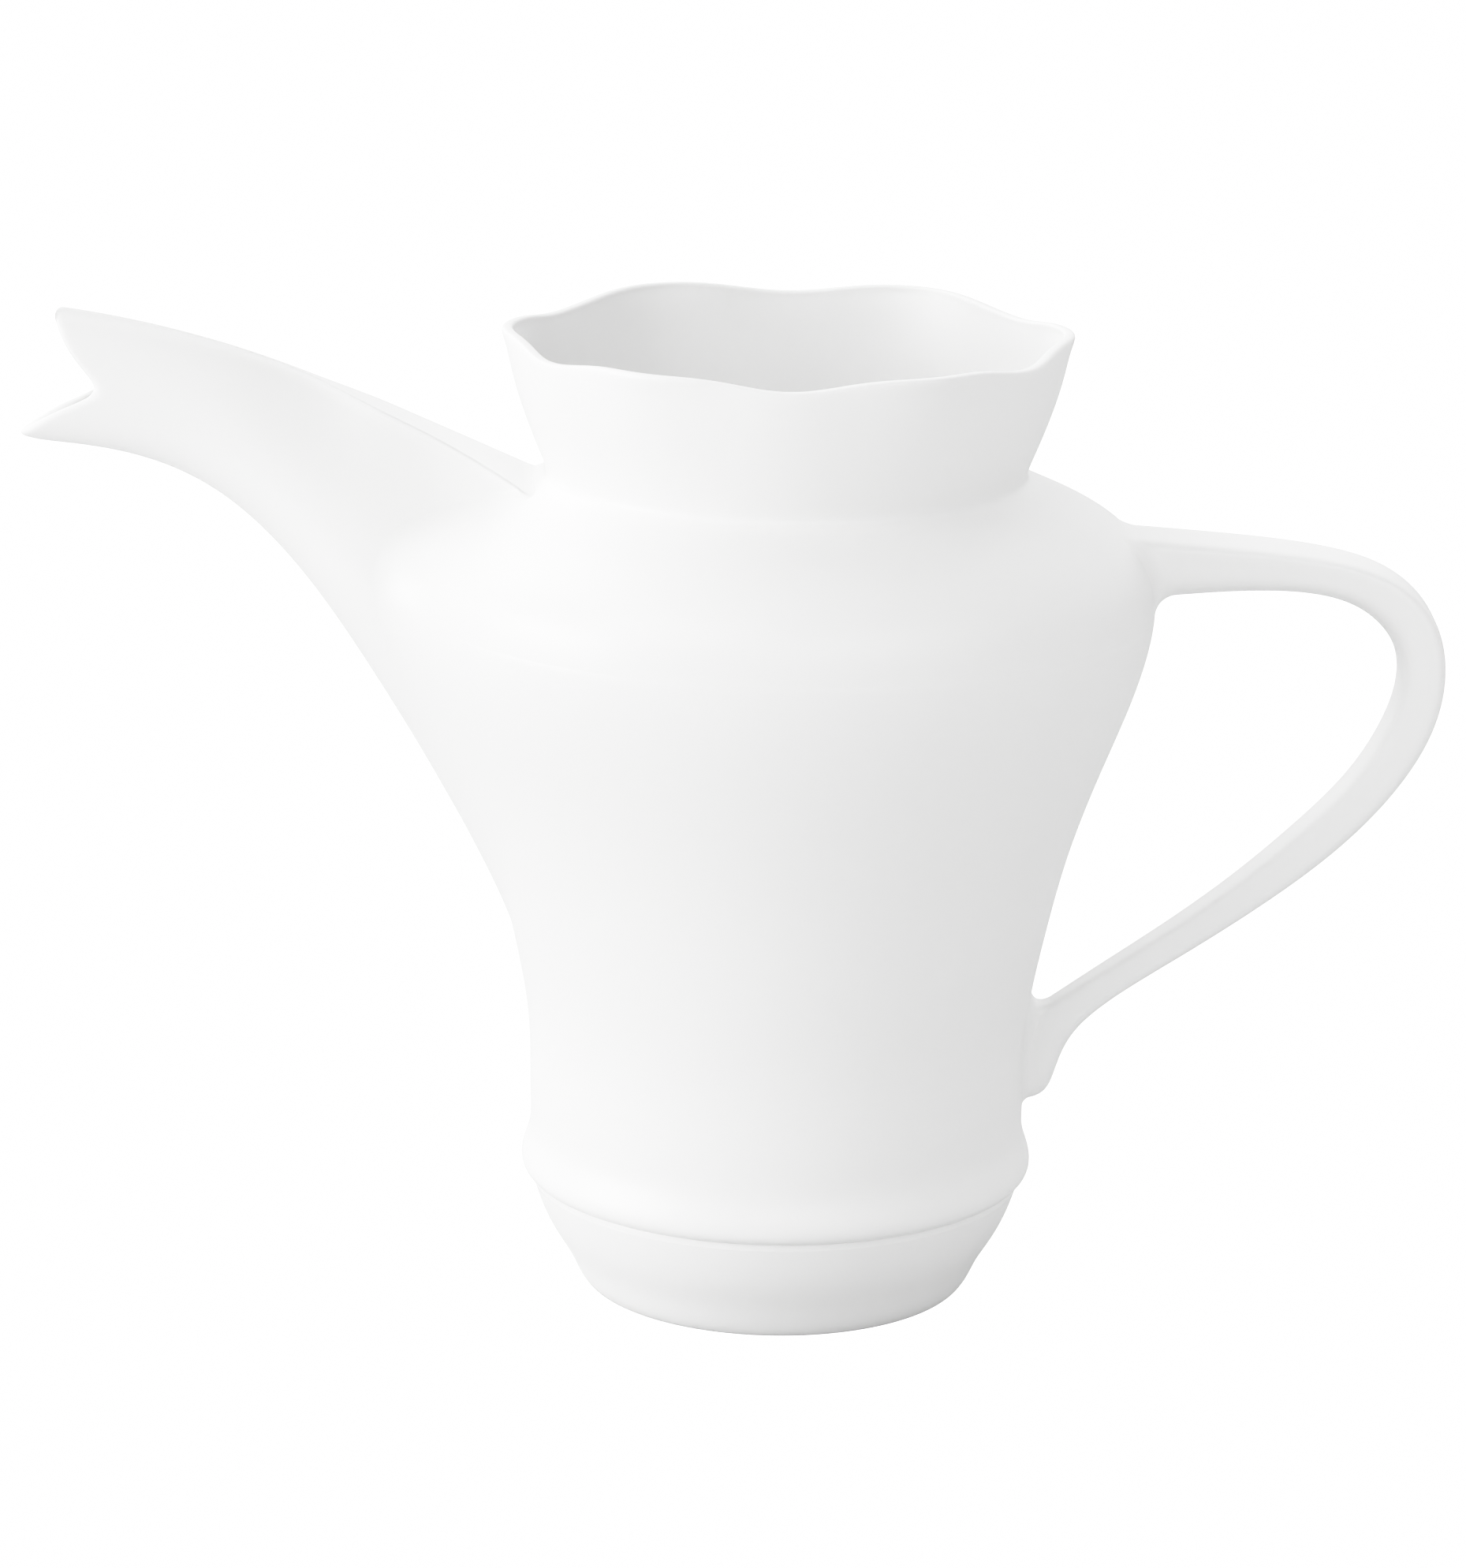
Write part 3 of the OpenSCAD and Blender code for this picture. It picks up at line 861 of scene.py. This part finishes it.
def glazed_porcelain():
    """White ware under a clear glaze that pools in the hollows and flows a little. The pooled
    tint, darker and bluer in tight creases, is partly glaze and partly painted shade.
    """
    material, tree, shader = new_material("glazed_porcelain")
    cloud = ramp(tree, noise(tree, CLOUD_SCALE, 2), [(0.35, GLAZE_THIN), (0.65, GLAZE)])
    geometry = tree.nodes.new("ShaderNodeNewGeometry")
    # Painted crease shade mixed with pooled glaze: concave places, found by low pointiness, get
    # the darker bluish tint
    pooling_and_shade = ramp(tree, geometry.outputs["Pointiness"], [(0.42, 1.0), (0.49, 0.0)])
    mix = tree.nodes.new("ShaderNodeMix")
    mix.data_type = "RGBA"
    mix.inputs["B"].default_value = (*POOLED_GLAZE_AND_SHADE, 1)
    tree.links.new(pooling_and_shade, mix.inputs["Factor"])
    tree.links.new(cloud, mix.inputs["A"])
    tree.links.new(mix.outputs["Result"], shader.inputs["Base Color"])
    gloss = ramp(tree, noise(tree, WAVE_SCALE, 3), [(0.3, GLAZE_SMOOTH), (0.7, GLAZE_DULL)])
    tree.links.new(gloss, shader.inputs["Roughness"])
    bump(tree, shader, noise(tree, WAVE_SCALE, 1), distance=0.0002, strength=0.06)
    return material


def bare_porcelain():
    """The unglazed ring that the pot stands on: matt, with a fine grain."""
    material, tree, shader = new_material("bare_porcelain")
    grain = noise(tree, GRAIN_SCALE, 3)
    tint = ramp(tree, grain, [(0.3, BISCUIT_DARK), (0.7, BISCUIT_LIGHT)])
    tree.links.new(tint, shader.inputs["Base Color"])
    shader.inputs["Roughness"].default_value = BISCUIT_ROUGH
    bump(tree, shader, grain, distance=0.0001, strength=0.5)
    return material


def bare_ring(foot, material):
    """Gives the flat underside of the foot the second material."""
    foot.data.materials.append(material)
    for face in foot.data.polygons:
        if face.center.z < BARE_UP_TO * MM:
            face.material_index = 1


# ---- Stage ----

# Light from the open room: soft lobes, each with the way it comes from and its strength
ROOM = {
    "left": ((-1, 0, 0), 0.6),
    "right": ((1, 0, 0), 0.41),
    "back": ((0, 1, 0), 1.3),
    "top": ((0, 0, 1), 0.4),
}
# Light that comes evenly from everywhere
ROOM_EVEN = 0.18
# Each softbox: name, place and side lengths in metres, and watts; they look at the pot's middle
SOFTBOXES = [
    ("key", (-1.5, -1.6, 1.8), (2.2, 2.2), 17),
    ("left", (-2.2, -0.6, 0.3), (1.6, 1.0), 22),
    ("front", (0.4, -2.6, 1.1), (2, 1.6), 12),
    ("front_right", (1.6, -1.8, 1.2), (2, 2), 9),
    ("back_left", (-1.5, 1.2, 1.8), (2, 2), 16),
]
AIM = Vector((-8.3, 0, 88.9)) * MM
# Light up to SHOULDER is kept as it is, and light from WHITE up comes out as pure white
SHOULDER = 0.7
WHITE = 1.6
STAGE_GLOW = WHITE + 0.05
TABLE_TINT = 0.69
SWEEP_TINT = 0.9
TABLE_ROUGH = 0.9
# How much lighter the pale patches of table and sweep are, and their noise scale
PATCH = 0.02
PATCH_SCALE = 3
FLOOR_SIZE = 12
DOME_R = 8
LENS = 136.5
SENSOR = 36
CAMERA_DISTANCE = 1.025
CAMERA_ELEVATION = math.radians(15.1)
CAMERA_ROLL = math.radians(0.79)
# Points of the tone curve in its straight part and in its shoulder
STRAIGHT_STEPS = 3
SHOULDER_STEPS = 8


def look_at(thing, target, roll=0):
    """Turns a camera or light from its place towards the target."""
    turn = (target - thing.location).to_track_quat("-Z", "Y").to_matrix().to_4x4()
    thing.matrix_world = (
        Matrix.Translation(thing.location) @ turn @ Matrix.Rotation(roll, 4, "Z")
    )


def flat_plane(name, material):
    bpy.ops.mesh.primitive_plane_add(size=FLOOR_SIZE)
    plane = bpy.context.object
    plane.name = name
    plane.data.materials.append(material)
    return plane


def pale_material(name, tint):
    """A material and its shader, with a pale tint that varies very slightly."""
    material, tree, shader = new_material(name)
    patches = ramp(tree, noise(tree, PATCH_SCALE, 2), [(0.3, tint), (0.7, tint + PATCH)])
    tree.links.new(patches, shader.inputs["Base Color"])
    return material, shader


def make_stage():
    """A pale table, and the white sweep of a studio in front of and behind it.

    Only light sees the table, which throws it back up at the pot. Only the camera sees the
    sweep, as an evenly lit floor and backdrop.
    """
    material, shader = pale_material("pale_table", TABLE_TINT)
    shader.inputs["Roughness"].default_value = TABLE_ROUGH
    table = flat_plane("table", material)
    table.visible_camera = False

    white, shader = pale_material("white_sweep", SWEEP_TINT)
    shader.inputs["Emission Color"].default_value = (1, 1, 1, 1)
    shader.inputs["Emission Strength"].default_value = STAGE_GLOW
    floor = flat_plane("floor", white)
    bpy.ops.mesh.primitive_uv_sphere_add(segments=64, ring_count=32, radius=DOME_R)
    dome = bpy.context.object
    dome.name = "backdrop"
    dome.data.materials.append(white)
    for piece in (floor, dome):
        piece.visible_diffuse = False
        piece.visible_glossy = False
        piece.visible_transmission = False
        piece.visible_shadow = False


def make_room():
    """The world's light: ROOM's lobes added up over the even part."""
    world = bpy.data.worlds.new("room")
    world.use_nodes = True
    tree = world.node_tree
    tree.nodes.clear()
    place = tree.nodes.new("ShaderNodeTexCoord")
    background = tree.nodes.new("ShaderNodeBackground")
    output = tree.nodes.new("ShaderNodeOutputWorld")
    total = None
    for direction, strength in ROOM.values():
        towards = tree.nodes.new("ShaderNodeVectorMath")
        towards.operation = "DOT_PRODUCT"
        towards.inputs[1].default_value = direction
        lobe_part = tree.nodes.new("ShaderNodeMath")
        lobe_part.operation = "MAXIMUM"
        lobe_part.inputs[1].default_value = 0
        add = tree.nodes.new("ShaderNodeMath")
        add.operation = "MULTIPLY_ADD"
        add.inputs[1].default_value = strength
        add.inputs[2].default_value = ROOM_EVEN
        tree.links.new(place.outputs["Generated"], towards.inputs[0])
        tree.links.new(towards.outputs["Value"], lobe_part.inputs[0])
        tree.links.new(lobe_part.outputs[0], add.inputs[0])
        if total is not None:
            tree.links.new(total, add.inputs[2])
        total = add.outputs[0]
    tree.links.new(total, background.inputs["Strength"])
    tree.links.new(background.outputs[0], output.inputs["Surface"])
    bpy.context.scene.world = world


def make_softboxes():
    for name, place, sides, watts in SOFTBOXES:
        light = bpy.data.lights.new(name, "AREA")
        light.shape = "RECTANGLE"
        light.size, light.size_y = sides
        light.energy = watts
        box = bpy.data.objects.new(name, light)
        bpy.context.scene.collection.objects.link(box)
        box.location = place
        look_at(box, AIM)


def set_exposure():
    """Film that follows the light, and rolls off softly between SHOULDER and WHITE."""
    view = bpy.context.scene.view_settings
    view.view_transform = "Standard"
    view.use_curve_mapping = True
    mapping = view.curve_mapping
    mapping.white_level = (WHITE, WHITE, WHITE)
    tone = mapping.curves[3].points
    for i in range(1, STRAIGHT_STEPS + 1):
        tone.new(SHOULDER / WHITE * i / STRAIGHT_STEPS, SHOULDER * i / STRAIGHT_STEPS)
    for i in range(1, SHOULDER_STEPS):
        share = i / SHOULDER_STEPS
        light = SHOULDER + (WHITE - SHOULDER) * share
        tone.new(light / WHITE, SHOULDER + (1 - SHOULDER) * (1 - (1 - share) ** 3))
    mapping.update()


def make_camera():
    data = bpy.data.cameras.new("camera")
    data.sensor_width = SENSOR
    data.lens = LENS
    camera = bpy.data.objects.new("camera", data)
    bpy.context.scene.collection.objects.link(camera)
    back, up = -math.cos(CAMERA_ELEVATION), math.sin(CAMERA_ELEVATION)
    camera.location = AIM + CAMERA_DISTANCE * Vector((0, back, up))
    look_at(camera, AIM, CAMERA_ROLL)
    bpy.context.scene.camera = camera


# ---- The pot ----

body = build_body()
foot = build_foot()
foot_seam = build_foot_seam()
spout = build_spout()
spout_fillet = build_spout_fillet()
handle = build_handle()
handle_top_fillet, handle_bottom_fillet = build_handle_fillets()

glaze = glazed_porcelain()
pieces = {
    "body": body,
    "foot": foot,
    "foot_slip_joint": foot_seam,
    "spout": spout,
    "spout_slip_joint": spout_fillet,
    "handle": handle,
    "handle_top_slip_joint": handle_top_fillet,
    "handle_bottom_slip_joint": handle_bottom_fillet,
}
for node, piece in pieces.items():
    piece.data.materials.append(glaze)
    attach(piece, "root")
    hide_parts(node)
bare_ring(foot, bare_porcelain())

make_stage()
make_room()
make_softboxes()
make_camera()
set_exposure()
